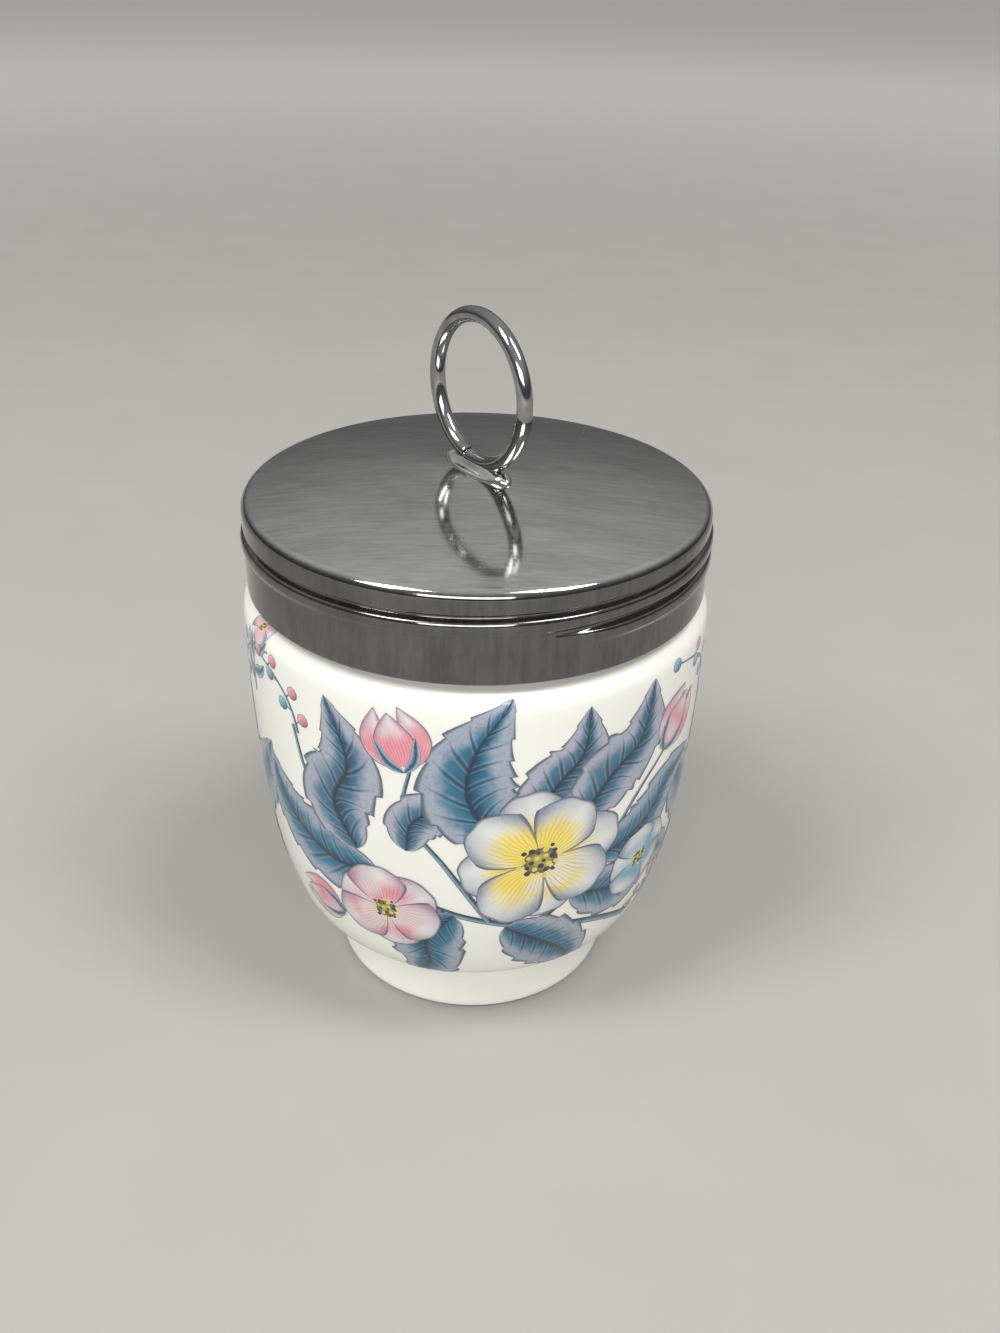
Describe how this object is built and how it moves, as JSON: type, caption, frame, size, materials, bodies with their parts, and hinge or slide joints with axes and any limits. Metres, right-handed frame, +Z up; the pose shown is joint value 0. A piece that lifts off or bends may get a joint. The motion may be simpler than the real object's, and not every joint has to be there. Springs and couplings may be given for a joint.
{
  "type": "egg coddler",
  "caption": "Round glazed cup on a short foot, with a metal cap that screws onto a moulded neck thread and an upright wire ring fixed on top.",
  "frame": {"origin": "centre of the foot's resting face, on the axis of the cup", "axes": "+Z up along the axis of cup and lid; the lifting ring stands in the XZ plane, so +Y looks through it"},
  "size_m": [0.065, 0.065, 0.0994],
  "materials": {
    "porcelain": "glossy clear glaze over white porcelain, unglazed foot ring, printed flowers and leaves",
    "lid_metal": "bright plate with a fine satin grain on the flat top",
    "ring_metal": "bright plate",
    "saddle_metal": "bright plate over a soft brazed edge",
    "stud_metal": "dull clenched head"
  },
  "bodies": {
    "cup_body": {"cup": "porcelain"},
    "rise_body": {"ring_stud": "stud_metal"},
    "lid_body": {"lid_cap": "lid_metal", "ring_saddle": "saddle_metal", "lifting_ring": "ring_metal"}
  },
  "joints": [
    {"name": "lid_rise", "type": "slide", "parent": "cup_body", "child": "rise_body", "axis": [0, 0, 1], "range_m": [0, 0.0124]},
    {"name": "lid_unscrew", "type": "hinge", "parent": "rise_body", "child": "lid_body", "pos_m": [0, 0, 0.0779], "axis": [0, 0, 1], "range_deg": [0, 1710]}
  ],
  "couplings": [
    {"joint": "lid_rise", "follows": "lid_unscrew", "m_per_rad": 0.0004138}
  ]
}
